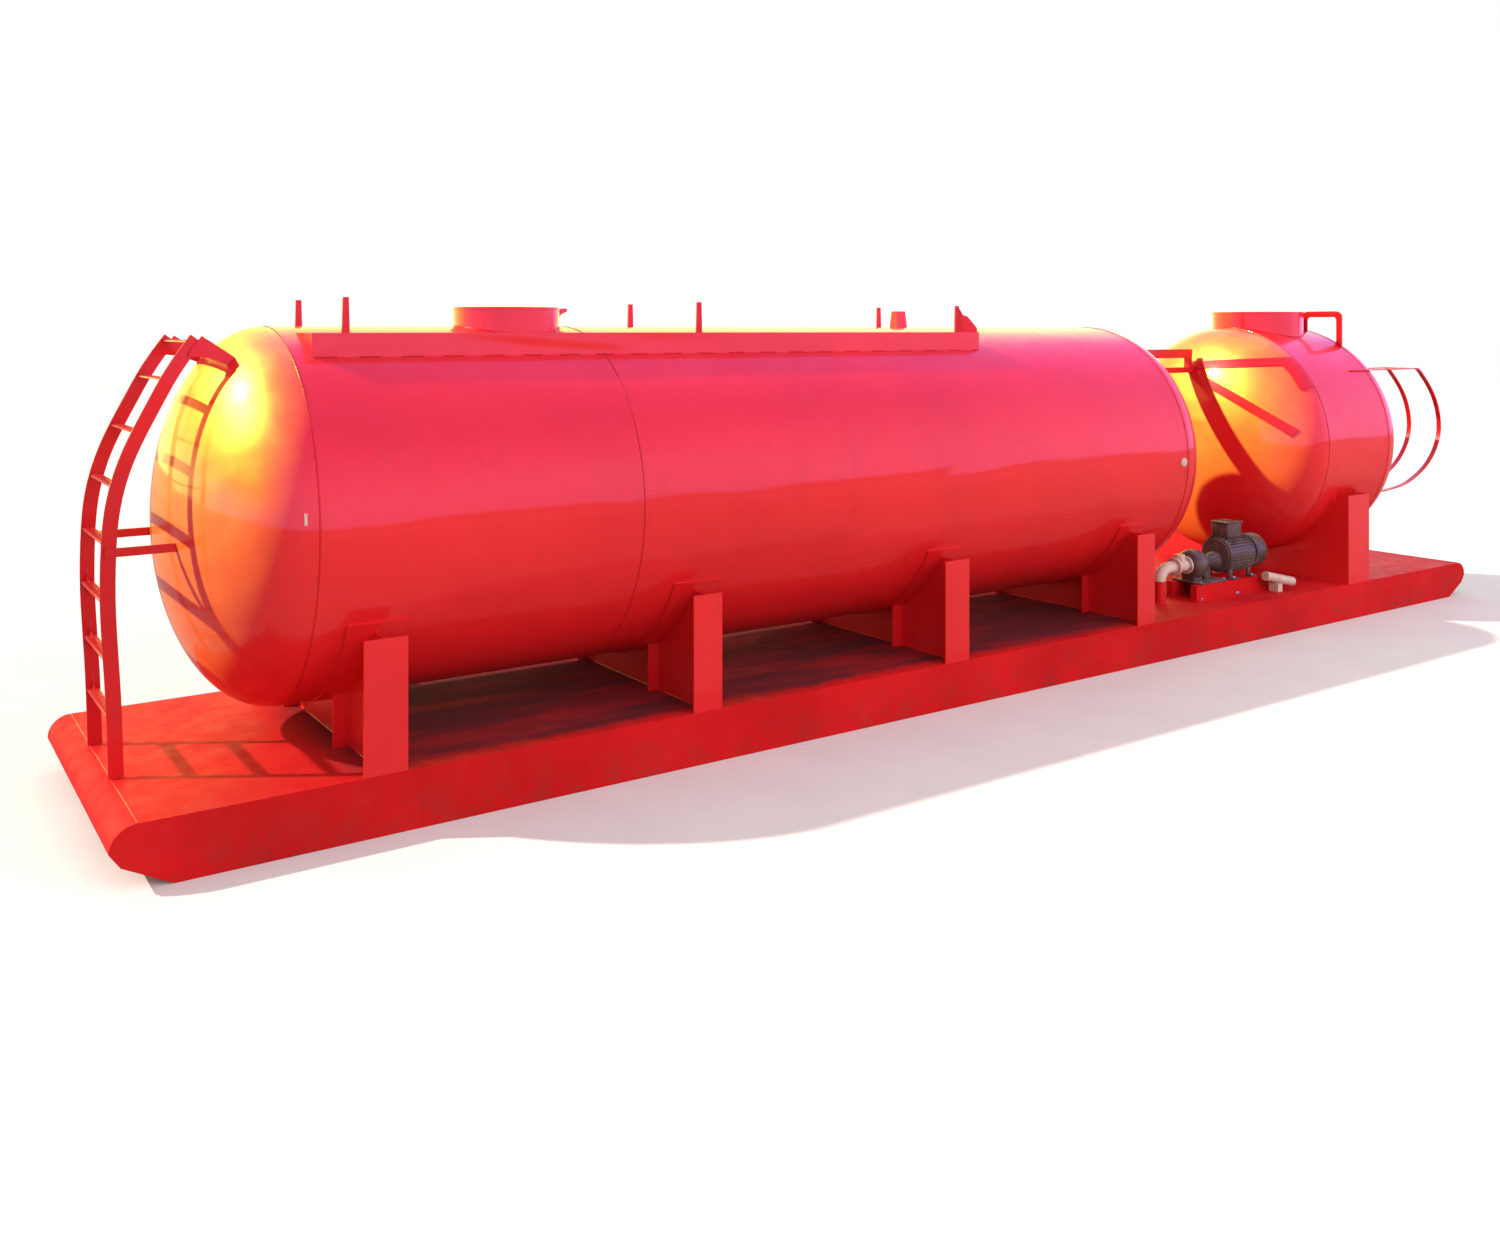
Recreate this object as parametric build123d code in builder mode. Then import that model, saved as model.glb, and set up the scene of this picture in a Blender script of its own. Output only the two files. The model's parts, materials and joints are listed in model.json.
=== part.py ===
from build123d import *
import math
import os

# ---------------------------------------------------------------------------
# Skid-mounted diesel fuel tank: a long horizontal tank and a short one behind
# it on one sled base.  Millimetres.  +X runs along the skid from the ladder
# end to the hose-rack end, -Y is the side with the pump, +Z is up.
# Origin: centre of the skid's footprint, on the ground.
# ---------------------------------------------------------------------------

# skid
L_SKID = 12000.0        # overall length, nose to nose
W_SKID = 2100.0         # overall width
H_DECK = 310.0          # top of the deck plate
T_DECK = 8.0            # deck plate
T_BEAM = 12.0           # beam web and flanges
B_FLANGE = 100.0        # beam flange width
NOSE_R = 120.0          # roll of the deck plate over the nose
NOSE_Z = 190.0          # where the roll ends on the nose face
SKI_X = 300.0           # ground contact starts this far from the nose
SKI_IN = 50.0           # under-bevel's upper corner, behind the nose
SKI_Z = 120.0
H_CROSS = 278.0         # cross member height
B_CROSS = 120.0
CROSS_X = [-5500.0, -4720.0, -2775.0, -755.0, 1225.0, 2700.0, 4155.0, 5500.0]

# tanks
R_TANK = 1045.0         # outside radius of both tanks
T_SHELL = 8.0
Z_AXIS = 1540.0
HEAD_D = 560.0          # depth of the dished heads
X_MAIN = (-5050.0, 1740.0)      # seams of the main tank
X_SECOND = (3700.0, 4660.0)     # seams of the short tank

# saddles: centre x, flange width
SADDLES = [(-4720.0, 230.0), (-2775.0, 200.0), (-755.0, 220.0), (1225.0, 200.0)]
SADDLE_Z = 1000.0       # top of the flange plates
T_WEB = 12.0
T_PAD = 10.0            # wear pad between shell and saddle
PAD_HALF_ANGLE = 63.0
SECOND_SADDLE_X = (3990.0, 4320.0)
SECOND_SADDLE_Z = 1095.0

# coaming round the crown of the main tank
COAM_X = (-4951.0, -75.0)
COAM_Y = 565.0
COAM_TOP = 2550.0
T_COAM = 8.0
POST_X = (-4735.0, -2455.0, -185.0)
POST_TOP = 2745.0
POST_Y = 452.0
KNEE_LEN = 137.0

# manholes
MH1_X = -3590.0
MH1_R = 325.0
MH1_TOP = 2712.0
MH2_X = 4190.0
MH2_R = 410.0
MH2_TOP = 2745.0
T_NECK = 8.0

# ladder on the left head
LAD_Y = 325.0           # half clear width between the stringers
LAD_B = 72.0            # stringer depth
LAD_T = 10.0
TREAD_B = 58.0          # flat treads
TREAD_T = 8.0
# centre line of a stringer, (x, z)
LAD_PATH = [(-5855.0, 310.0), (-5870.0, 750.0), (-5893.0, 1200.0), (-5890.0, 1450.0), (-5880.0, 1600.0),
            (-5855.0, 1750.0), (-5810.0, 1900.0), (-5745.0, 2050.0), (-5670.0, 2200.0), (-5590.0, 2350.0),
            (-5475.0, 2520.0)]
TREADS = [(-5866.0, 615.0), (-5878.0, 905.0), (-5893.0, 1200.0), (-5888.0, 1490.0),
          (-5849.0, 1775.0), (-5747.0, 2045.0), (-5612.0, 2310.0), (-5485.0, 2505.0)]

# hose racks on the right head: flat-bar hoops, centre line (x, z)
RACK_Y = (-810.0, -510.0)
RACK_B = 40.0
RACK_T = 10.0
RACK_PATH = [(5560.0, 2195.0), (5640.0, 2150.0), (5790.0, 2020.0), (5910.0, 1870.0), (5975.0, 1710.0),
             (5982.0, 1570.0), (5925.0, 1430.0), (5830.0, 1320.0), (5680.0, 1215.0), (5480.0, 1130.0),
             (5250.0, 1075.0), (5000.0, 1052.0), (4760.0, 1050.0)]

# pump set on the near side between the tanks
PUMP_Y = -600.0
PUMP_Z = 590.0          # shaft height

R_IN = R_TANK - T_SHELL
HEAD_IN = HEAD_D - T_SHELL


def crown(y, r=R_TANK):
    """height of the shell above the ground, y to the side of the centre line"""
    return Z_AXIS + math.sqrt(r * r - y * y)


os.makedirs("parts", exist_ok=True)

# ------------------------------------------------------------------ skid
# side beams: channels with the web outside, ends cut as sled noses
HX = L_SKID / 2
BW = W_SKID / 2
ZB = H_DECK - T_DECK    # top of the beams

with BuildPart() as skid_beam_near:
    with BuildSketch(Plane.XZ.offset(BW)):
        with BuildLine():
            Polyline((-HX + SKI_X, 0), (HX - SKI_X, 0), (HX - SKI_IN - 10, SKI_Z + 4), (HX - T_DECK, NOSE_Z))
            RadiusArc((HX - T_DECK, NOSE_Z), (HX - NOSE_R, ZB), -(NOSE_R - T_DECK))
            Line((HX - NOSE_R, ZB), (-HX + NOSE_R, ZB))
            RadiusArc((-HX + NOSE_R, ZB), (-HX + T_DECK, NOSE_Z), -(NOSE_R - T_DECK))
            Polyline((-HX + T_DECK, NOSE_Z), (-HX + SKI_IN + 10, SKI_Z + 4), (-HX + SKI_X, 0))
        make_face()
    extrude(amount=-B_FLANGE)
    with BuildSketch(Plane.XZ.offset(BW - T_BEAM)):
        with BuildLine():
            Polyline((-HX + SKI_X + 30, T_BEAM), (HX - SKI_X - 30, T_BEAM), (HX - 130, SKI_Z + 10),
                     (HX - 130, ZB - T_BEAM), (-HX + 130, ZB - T_BEAM), (-HX + 130, SKI_Z + 10), close=True)
        make_face()
    extrude(amount=-B_FLANGE, mode=Mode.SUBTRACT)
skid_beam_near.part.label = "skid_beam_near"

with BuildPart() as skid_beam_far:
    add(skid_beam_near.part)
    mirror(about=Plane.XZ, mode=Mode.REPLACE)
skid_beam_far.part.label = "skid_beam_far"

# cross members: rolled I sections between the webs of the side beams
with BuildPart() as skid_cross_members:
    for x in CROSS_X:
        with BuildSketch(Plane.XZ.offset(BW - T_BEAM)):
            with Locations((x, T_BEAM + 5)):
                Rectangle(B_CROSS, 10)
            with Locations((x, T_BEAM + H_CROSS / 2)):
                Rectangle(8, H_CROSS)
            with Locations((x, T_BEAM + H_CROSS - 5)):
                Rectangle(B_CROSS, 10)
        extrude(amount=-2 * (BW - T_BEAM))
skid_cross_members.part.label = "skid_cross_members"

# rolled nose plates, full width, continuing the deck down over each end
with BuildPart() as skid_nose_left:
    with BuildSketch(Plane.XZ.offset(BW)):
        with BuildLine():
            Line((-HX + NOSE_R, H_DECK), (-HX + NOSE_R, ZB))
            RadiusArc((-HX + NOSE_R, ZB), (-HX + T_DECK, NOSE_Z), -(NOSE_R - T_DECK))
            Polyline((-HX + T_DECK, NOSE_Z), (-HX + SKI_IN + 10, SKI_Z + 4), (-HX + SKI_X, 0),
                     (-HX + SKI_X - 20, 0), (-HX + SKI_IN, SKI_Z), (-HX, NOSE_Z))
            RadiusArc((-HX, NOSE_Z), (-HX + NOSE_R, H_DECK), NOSE_R)
        make_face()
    extrude(amount=-W_SKID)
skid_nose_left.part.label = "skid_nose_left"

with BuildPart() as skid_nose_right:
    add(skid_nose_left.part)
    mirror(about=Plane.YZ, mode=Mode.REPLACE)
skid_nose_right.part.label = "skid_nose_right"

# deck plates, butt jointed over cross members
DECK_X = [-HX + NOSE_R, -4600.0, 1350.0, HX - NOSE_R]
with BuildPart() as deck_plate_left:
    with BuildSketch(Plane.XY.offset(ZB)):
        with Locations(((DECK_X[0] + DECK_X[1]) / 2, 0)):
            Rectangle(DECK_X[1] - DECK_X[0], W_SKID)
    extrude(amount=T_DECK)
deck_plate_left.part.label = "deck_plate_left"

with BuildPart() as deck_plate_middle:
    with BuildSketch(Plane.XY.offset(ZB)):
        with Locations(((DECK_X[1] + DECK_X[2]) / 2, 0)):
            Rectangle(DECK_X[2] - DECK_X[1], W_SKID)
    extrude(amount=T_DECK)
deck_plate_middle.part.label = "deck_plate_middle"

with BuildPart() as deck_plate_right:
    with BuildSketch(Plane.XY.offset(ZB)):
        with Locations(((DECK_X[2] + DECK_X[3]) / 2, 0)):
            Rectangle(DECK_X[3] - DECK_X[2], W_SKID)
    extrude(amount=T_DECK)
deck_plate_right.part.label = "deck_plate_right"

# ------------------------------------------------------------------ saddles
# transverse web cut to the wear pad, side flange plates flush with the skid,
# and two stiffeners each side of the centre
R_CRADLE = R_TANK + T_PAD


def saddle_block(x, flange_w, z_top, webs, rib_gap=40):
    with BuildPart() as block:
        for wx in webs:
            with BuildSketch(Plane.YZ.offset(wx - T_WEB / 2)):
                with Locations((0, (H_DECK + z_top) / 2)):
                    Rectangle(2 * (BW - T_WEB), z_top - H_DECK)
                with Locations((0, Z_AXIS)):
                    Circle(R_CRADLE, mode=Mode.SUBTRACT)
            extrude(amount=T_WEB)
        for y in (-BW + T_WEB / 2, BW - T_WEB / 2):
            with BuildSketch(Plane.XY.offset(H_DECK)):
                with Locations((x, y)):
                    Rectangle(flange_w, T_WEB)
            extrude(amount=z_top - H_DECK)
        for y in (-480.0, 480.0):
            with BuildSketch(Plane.XY.offset(H_DECK)):
                with Locations((x, y)):
                    Rectangle(flange_w - rib_gap, T_WEB)
            extrude(amount=400)
        with BuildSketch(Plane.YZ.offset(x - flange_w)):
            with Locations((0, Z_AXIS)):
                Circle(R_CRADLE)
        extrude(amount=2 * flange_w, mode=Mode.SUBTRACT)
    return block.part


with BuildPart() as saddle_1:
    add(saddle_block(SADDLES[0][0], SADDLES[0][1], SADDLE_Z, [SADDLES[0][0]]))
saddle_1.part.label = "saddle_1"

with BuildPart() as saddle_2:
    add(saddle_block(SADDLES[1][0], SADDLES[1][1], SADDLE_Z, [SADDLES[1][0]]))
saddle_2.part.label = "saddle_2"

with BuildPart() as saddle_3:
    add(saddle_block(SADDLES[2][0], SADDLES[2][1], SADDLE_Z, [SADDLES[2][0]]))
saddle_3.part.label = "saddle_3"

with BuildPart() as saddle_4:
    add(saddle_block(SADDLES[3][0], SADDLES[3][1], SADDLE_Z, [SADDLES[3][0]]))
saddle_4.part.label = "saddle_4"

# the short tank's saddle is a box: two webs between wide flange plates
SX0, SX1 = SECOND_SADDLE_X
with BuildPart() as saddle_5:
    add(saddle_block((SX0 + SX1) / 2, SX1 - SX0, SECOND_SADDLE_Z, [SX0 + T_WEB / 2, SX1 - T_WEB / 2], 20))
saddle_5.part.label = "saddle_5"

# wear pads rolled to the shell
with BuildPart() as saddle_pads:
    for x, w in [(s[0], 320.0) for s in SADDLES] + [((SX0 + SX1) / 2, 430.0)]:
        with BuildSketch(Plane.YZ.offset(x - w / 2)):
            with BuildLine():
                a0, a1 = 270 - PAD_HALF_ANGLE, 270 + PAD_HALF_ANGLE
                CenterArc((0, Z_AXIS), R_CRADLE, a0, 2 * PAD_HALF_ANGLE)
                CenterArc((0, Z_AXIS), R_TANK, a0, 2 * PAD_HALF_ANGLE)
                for a in (a0, a1):
                    c, s = math.cos(math.radians(a)), math.sin(math.radians(a))
                    Line((R_TANK * c, Z_AXIS + R_TANK * s), (R_CRADLE * c, Z_AXIS + R_CRADLE * s))
            make_face()
        extrude(amount=w)
saddle_pads.part.label = "saddle_pads"

# ------------------------------------------------------------------ tanks
with BuildPart() as main_shell:
    with BuildSketch(Plane.YZ.offset(X_MAIN[0])):
        with Locations((0, Z_AXIS)):
            Circle(R_TANK)
            Circle(R_IN, mode=Mode.SUBTRACT)
    extrude(amount=X_MAIN[1] - X_MAIN[0])
    with BuildSketch(Plane.XY.offset(Z_AXIS)):
        with Locations((MH1_X, 0)):
            Circle(MH1_R - T_NECK)
    extrude(amount=R_TANK + 50, mode=Mode.SUBTRACT)
main_shell.part.label = "main_shell"

with BuildPart() as second_shell:
    with BuildSketch(Plane.YZ.offset(X_SECOND[0])):
        with Locations((0, Z_AXIS)):
            Circle(R_TANK)
            Circle(R_IN, mode=Mode.SUBTRACT)
    extrude(amount=X_SECOND[1] - X_SECOND[0])
    with BuildSketch(Plane.XY.offset(Z_AXIS)):
        with Locations((MH2_X, 0)):
            Circle(MH2_R - T_NECK)
    extrude(amount=R_TANK + 50, mode=Mode.SUBTRACT)
second_shell.part.label = "second_shell"


def dished_head(x_seam):
    """half-ellipsoid shell closing a tank at its right-hand seam x_seam"""
    with BuildPart() as head:
        with BuildSketch(Plane.XZ):
            with BuildLine():
                EllipticalCenterArc((x_seam, Z_AXIS), HEAD_D, R_TANK, 0, arc_size=90)
                EllipticalCenterArc((x_seam, Z_AXIS), HEAD_IN, R_IN, 0, arc_size=90)
                Line((x_seam, Z_AXIS + R_IN), (x_seam, Z_AXIS + R_TANK))
                Line((x_seam + HEAD_IN, Z_AXIS), (x_seam + HEAD_D, Z_AXIS))
            make_face()
        revolve(axis=Axis((0, 0, Z_AXIS), (1, 0, 0)), revolution_arc=360)
    return head.part


with BuildPart() as main_head_right:
    add(dished_head(X_MAIN[1]))
main_head_right.part.label = "main_head_right"

with BuildPart() as main_head_left:
    add(dished_head(-X_MAIN[0]))
    mirror(about=Plane.YZ, mode=Mode.REPLACE)
main_head_left.part.label = "main_head_left"

with BuildPart() as second_head_right:
    add(dished_head(X_SECOND[1]))
second_head_right.part.label = "second_head_right"

with BuildPart() as second_head_left:
    add(dished_head(-X_SECOND[0]))
    mirror(about=Plane.YZ, mode=Mode.REPLACE)
second_head_left.part.label = "second_head_left"


# manhole necks stand on the shell; covers have a short skirt over the neck
def neck(x, r, z_top):
    with BuildPart() as n:
        with BuildSketch(Plane.XY.offset(Z_AXIS + R_TANK - 150)):
            with Locations((x, 0)):
                Circle(r)
                Circle(r - T_NECK, mode=Mode.SUBTRACT)
        extrude(amount=z_top - (Z_AXIS + R_TANK - 150))
        with BuildSketch(Plane.YZ.offset(x - r - 50)):
            with Locations((0, Z_AXIS)):
                Circle(R_TANK)
        extrude(amount=2 * r + 100, mode=Mode.SUBTRACT)
    return n.part


with BuildPart() as manhole_neck:
    add(neck(MH1_X, MH1_R, MH1_TOP - 22))
manhole_neck.part.label = "manhole_neck"

with BuildPart() as manhole_cover:
    with BuildSketch(Plane.XY.offset(MH1_TOP - 22)):
        with Locations((MH1_X, 0)):
            Circle(MH1_R + 4)
    extrude(amount=22)
    chamfer(manhole_cover.edges().group_by(Axis.Z)[-1], length=7, length2=100)
    # hinge lug welded to the rim, on the side away from the ladder
    with BuildSketch(Plane.XZ.offset(30)):
        with BuildLine():
            Polyline((MH1_X + MH1_R - 4.0, MH1_TOP - 10), (MH1_X + MH1_R + 78, MH1_TOP - 10),
                     (MH1_X + MH1_R + 78, MH1_TOP - 28), (MH1_X + MH1_R + 34, MH1_TOP - 48),
                     (MH1_X + MH1_R + 18, MH1_TOP - 84), (MH1_X + MH1_R + 4, MH1_TOP - 84),
                     (MH1_X + MH1_R + 4, MH1_TOP - 22), (MH1_X + MH1_R - 4.0, MH1_TOP - 22), close=True)
        make_face()
    extrude(amount=-60)
manhole_cover.part.label = "manhole_cover"

with BuildPart() as second_manhole_neck:
    add(neck(MH2_X, MH2_R, MH2_TOP - 22))
second_manhole_neck.part.label = "second_manhole_neck"

with BuildPart() as second_manhole_cover:
    with BuildSketch(Plane.XY.offset(MH2_TOP - 22)):
        with Locations((MH2_X, 0)):
            Circle(MH2_R + 4)
    extrude(amount=22)
    chamfer(second_manhole_cover.edges().group_by(Axis.Z)[-1], length=7, length2=100)
second_manhole_cover.part.label = "second_manhole_cover"

# ------------------------------------------------------------------ coaming
# upright plates round the crown of the main tank, bottom edge on the shell
def side_plate(y0, y1, x0, x1, z_top):
    with BuildPart() as plate:
        with BuildSketch(Plane.XY.offset(crown(COAM_Y) - 60)):
            with Locations(((x0 + x1) / 2, (y0 + y1) / 2)):
                Rectangle(x1 - x0, abs(y1 - y0))
        extrude(amount=z_top - (crown(COAM_Y) - 60))
        with BuildSketch(Plane.YZ.offset(x0 - 50)):
            with Locations((0, Z_AXIS)):
                Circle(R_TANK)
        extrude(amount=x1 - x0 + 100, mode=Mode.SUBTRACT)
    return plate.part


with BuildPart() as coaming_near:
    add(side_plate(-COAM_Y, -COAM_Y + T_COAM, COAM_X[0], COAM_X[1], COAM_TOP))
coaming_near.part.label = "coaming_near"

with BuildPart() as coaming_far:
    add(side_plate(COAM_Y - T_COAM, COAM_Y, COAM_X[0], COAM_X[1], COAM_TOP))
coaming_far.part.label = "coaming_far"

# six stub posts, tapered flats that stand on the shell inside the coaming
with BuildPart() as rail_posts:
    for x in POST_X:
        for s in (-1, 1):
            with BuildSketch(Plane.XZ.offset(-s * POST_Y)):
                with BuildLine():
                    Polyline((x - 24, crown(POST_Y) - 20), (x + 24, crown(POST_Y) - 20), (x + 16, POST_TOP),
                             (x - 16, POST_TOP), close=True)
                make_face()
            extrude(amount=s * 12)
    with BuildSketch(Plane.YZ.offset(-HX)):
        with Locations((0, Z_AXIS)):
            Circle(R_TANK)
    extrude(amount=L_SKID, mode=Mode.SUBTRACT)
    # knee plate from the last near post out to the coaming's inner corner
    ka, kb = 0.6698, -0.7425
    knee = Plane(origin=(POST_X[2], 6 - POST_Y, 0), x_dir=(ka, kb, 0), z_dir=(kb, -ka, 0))
    with BuildPart(mode=Mode.PRIVATE) as plate:
        with BuildSketch(knee):
            with BuildLine():
                Polyline((-5, COAM_TOP - 200), (KNEE_LEN + 13, COAM_TOP - 200), (KNEE_LEN + 13, COAM_TOP + 26),
                         (KNEE_LEN + 5, COAM_TOP + 38), (80, COAM_TOP + 116), (45, COAM_TOP + 128),
                         (12, POST_TOP - 6), (-5, POST_TOP - 6), close=True)
            make_face()
        extrude(amount=4, both=True)
        with BuildSketch(Plane.YZ.offset(-HX)):
            with Locations((0, Z_AXIS)):
                Circle(R_TANK)
        extrude(amount=L_SKID, mode=Mode.SUBTRACT)
        with Locations((0, -COAM_Y, COAM_TOP - 200)):
            Box(4000, 2 * T_COAM, 400, align=(Align.CENTER, Align.CENTER, Align.MIN), mode=Mode.SUBTRACT)
        with Locations((COAM_X[1], 0, COAM_TOP - 200)):
            Box(2 * T_COAM, 4000, 400, align=(Align.CENTER, Align.CENTER, Align.MIN), mode=Mode.SUBTRACT)
    add(plate.part)
rail_posts.part.label = "rail_posts"

# small vent housing on the crown behind the last far post
with BuildPart() as vent_box:
    with BuildSketch(Plane.XY.offset(crown(240) - 40)):
        with Locations((-193, 200)):
            Rectangle(115, 100)
    extrude(amount=2712 - crown(240) + 40, taper=5)
    with BuildSketch(Plane.YZ.offset(-400)):
        with Locations((0, Z_AXIS)):
            Circle(R_TANK)
    extrude(amount=400, mode=Mode.SUBTRACT)
vent_box.part.label = "vent_box"

# ------------------------------------------------------------------ ladder
def ribbon(path, width, tangents):
    """closed face of constant width along a spline through path"""
    a = Spline(*path, tangents=tangents, mode=Mode.PRIVATE)
    left, right = [], []
    for i in range(0, 41):
        t = i / 40
        p, d = a @ t, a % t
        left.append((p.X - d.Y * width / 2, p.Y + d.X * width / 2))
        right.append((p.X + d.Y * width / 2, p.Y - d.X * width / 2))
    b, c = Spline(*left), Spline(*right)
    Line(b @ 0, c @ 0)
    Line(b @ 1, c @ 1)


def head_solid(x_seam, grow=0.0):
    """filled half ellipsoid, for cutting ends to a head's outer face"""
    with BuildPart() as solid:
        with BuildSketch(Plane.XZ):
            with BuildLine():
                EllipticalCenterArc((x_seam, Z_AXIS), HEAD_D + grow, R_TANK + grow, 0, arc_size=90)
                Polyline((x_seam, Z_AXIS + R_TANK + grow), (x_seam, Z_AXIS), (x_seam + HEAD_D + grow, Z_AXIS))
            make_face()
        revolve(axis=Axis((0, 0, Z_AXIS), (1, 0, 0)), revolution_arc=360)
    return solid.part


with BuildPart() as ladder_stringer_near:
    with BuildSketch(Plane.XZ.offset(LAD_Y + LAD_T)):
        with BuildLine():
            ribbon(LAD_PATH, LAD_B, [(-0.03, 1), (0.6, 0.8)])
        make_face()
    extrude(amount=-LAD_T)
    with Locations((-5855, -LAD_Y - LAD_T / 2, 305)):
        Box(200, 60, 10, mode=Mode.SUBTRACT)
ladder_stringer_near.part.label = "ladder_stringer_near"

with BuildPart() as ladder_stringer_far:
    add(ladder_stringer_near.part)
    mirror(about=Plane.XZ, mode=Mode.REPLACE)
ladder_stringer_far.part.label = "ladder_stringer_far"

with BuildPart() as ladder_treads:
    for x, z in TREADS:
        with BuildSketch(Plane.XZ.offset(LAD_Y)):
            with Locations((x, z)):
                Rectangle(TREAD_B, TREAD_T)
        extrude(amount=-2 * LAD_Y)
ladder_treads.part.label = "ladder_treads"

# ties from the stringers back to the head: a tapered gusset at the top and a
# straight flat at mid height, on both sides
with BuildPart() as ladder_ties:
    for y in (-LAD_Y - 2 * LAD_T, LAD_Y + LAD_T):
        with BuildSketch(Plane.XZ.offset(-y)):
            with BuildLine():
                Polyline((-5500, 2470), (-5452, 2534), (-5344, 2462), (-5150, 2325), (-5150, 2250),
                         (-5230, 2325), (-5330, 2385), (-5424, 2419), (-5520, 2430), close=True)
            make_face()
        extrude(amount=-LAD_T)
        with BuildSketch(Plane.XZ.offset(-y)):
            with Locations((-5680, 1447)):
                Rectangle(460, 45)
        extrude(amount=-LAD_T)
    add(head_solid(-X_MAIN[0]).mirror(Plane.YZ), mode=Mode.SUBTRACT)
ladder_ties.part.label = "ladder_ties"

# bridge between the two heads, beside the centre line: two bars and an upright
BRIDGE_Y = 60.0
BRIDGE_B = 60.0
with BuildPart() as head_bridge:
    with BuildSketch(Plane.XZ.offset(-BRIDGE_Y - BRIDGE_B / 2)):
        with Locations((2618, 2351)):
            Rectangle(1236, 80)
        with Locations((3216, 2283)):
            Rectangle(40, 216)
        with Locations((2680, 2200)):
            Rectangle(1360, 50)
    extrude(amount=BRIDGE_B)
    add(head_solid(X_MAIN[1]), mode=Mode.SUBTRACT)
    add(head_solid(-X_SECOND[0]).mirror(Plane.YZ), mode=Mode.SUBTRACT)
head_bridge.part.label = "head_bridge"

# straps lying on the left head of the short tank, (y, z) centre lines
STRAPS = [[(92, 2243), (-172, 2257), (-397, 2270), (-587, 2282), (-720, 2291)],
          [(-702, 2304), (-816, 2186), (-905, 2060)],
          [(20, 2158), (-247, 2043), (-465, 1935), (-657, 1827), (-825, 1719), (-900, 1665)]]
STRAP_B = 74.0
T_STRAP = 8.0

with BuildPart() as head_straps:
    for line in STRAPS:
        with BuildSketch(Plane.YZ.offset(X_SECOND[0] - HEAD_D - 50)):
            with BuildLine():
                d0 = (line[1][0] - line[0][0], line[1][1] - line[0][1])
                d1 = (line[-1][0] - line[-2][0], line[-1][1] - line[-2][1])
                ribbon(line, STRAP_B, [d0, d1])
            make_face()
        extrude(amount=HEAD_D + 50)
    with BuildPart(mode=Mode.PRIVATE) as cover:
        with BuildSketch(Plane.XZ):
            with BuildLine():
                EllipticalCenterArc((-X_SECOND[0], Z_AXIS), HEAD_D + T_STRAP, R_TANK + T_STRAP, 0, arc_size=90)
                Polyline((-X_SECOND[0], Z_AXIS + R_TANK + T_STRAP), (-X_SECOND[0], Z_AXIS),
                         (-X_SECOND[0] + HEAD_D + T_STRAP, Z_AXIS))
            make_face()
        revolve(axis=Axis((0, 0, Z_AXIS), (1, 0, 0)), revolution_arc=360)
    add(cover.part.mirror(Plane.YZ), mode=Mode.INTERSECT)
    add(head_solid(-X_SECOND[0], 0.3).mirror(Plane.YZ), mode=Mode.SUBTRACT)
    add(head_bridge.part, mode=Mode.SUBTRACT)
head_straps.part.label = "head_straps"

# arched guard over the right end of the short tank, cut from plate
with BuildPart() as top_guard:
    with BuildSketch(Plane.YZ.offset(4630)):
        with Locations((-395, 2560)):
            RectangleRounded(410, 370, 60)
            RectangleRounded(300, 260, 30, mode=Mode.SUBTRACT)
        with Locations((0, Z_AXIS)):
            Circle(R_TANK, mode=Mode.SUBTRACT)
        with Locations((0, 1200)):
            Rectangle(2200, 2200, mode=Mode.SUBTRACT)
    extrude(amount=12)
top_guard.part.label = "top_guard"

# ------------------------------------------------------------------ hose racks
with BuildPart() as hose_rack_near:
    with BuildSketch(Plane.XZ.offset(-RACK_Y[0] + RACK_B / 2)):
        with BuildLine():
            ribbon(RACK_PATH, RACK_T, [(1, -0.25), (-1, 0)])
        make_face()
        with Locations((4980, 2195)):
            Rectangle(1170, RACK_T)
    extrude(amount=-RACK_B)
    add(head_solid(X_SECOND[1]), mode=Mode.SUBTRACT)
    with BuildSketch(Plane.YZ.offset(3500)):
        with Locations((0, Z_AXIS)):
            Circle(R_TANK)
    extrude(amount=X_SECOND[1] - 3500, mode=Mode.SUBTRACT)
hose_rack_near.part.label = "hose_rack_near"

with BuildPart() as hose_rack_inner:
    with BuildSketch(Plane.XZ.offset(-RACK_Y[1] + RACK_B / 2)):
        with BuildLine():
            ribbon(RACK_PATH, RACK_T, [(1, -0.25), (-1, 0)])
        make_face()
        with Locations((5132.5, 2195)):
            Rectangle(865, RACK_T)
    extrude(amount=-RACK_B)
    add(head_solid(X_SECOND[1]), mode=Mode.SUBTRACT)
    # tie across to the near hoop
    with BuildSketch(Plane.XZ.offset(-RACK_Y[1] + RACK_B / 2)):
        with Locations((5540, 2195)):
            Rectangle(RACK_B, RACK_T)
    extrude(amount=RACK_Y[1] - RACK_Y[0] - RACK_B)
hose_rack_inner.part.label = "hose_rack_inner"

# ------------------------------------------------------------------ pump set
with BuildPart() as pump_base:
    with BuildSketch(Plane.XY.offset(H_DECK)):
        with Locations((2790, PUMP_Y)):
            Rectangle(1130, 340)
    extrude(amount=12)
    for y in (PUMP_Y - 120, PUMP_Y + 120):
        with BuildSketch(Plane.XY.offset(H_DECK + 12)):
            with Locations((2790, y)):
                Rectangle(1090, 60)
        extrude(amount=118)
pump_base.part.label = "pump_base"

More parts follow.
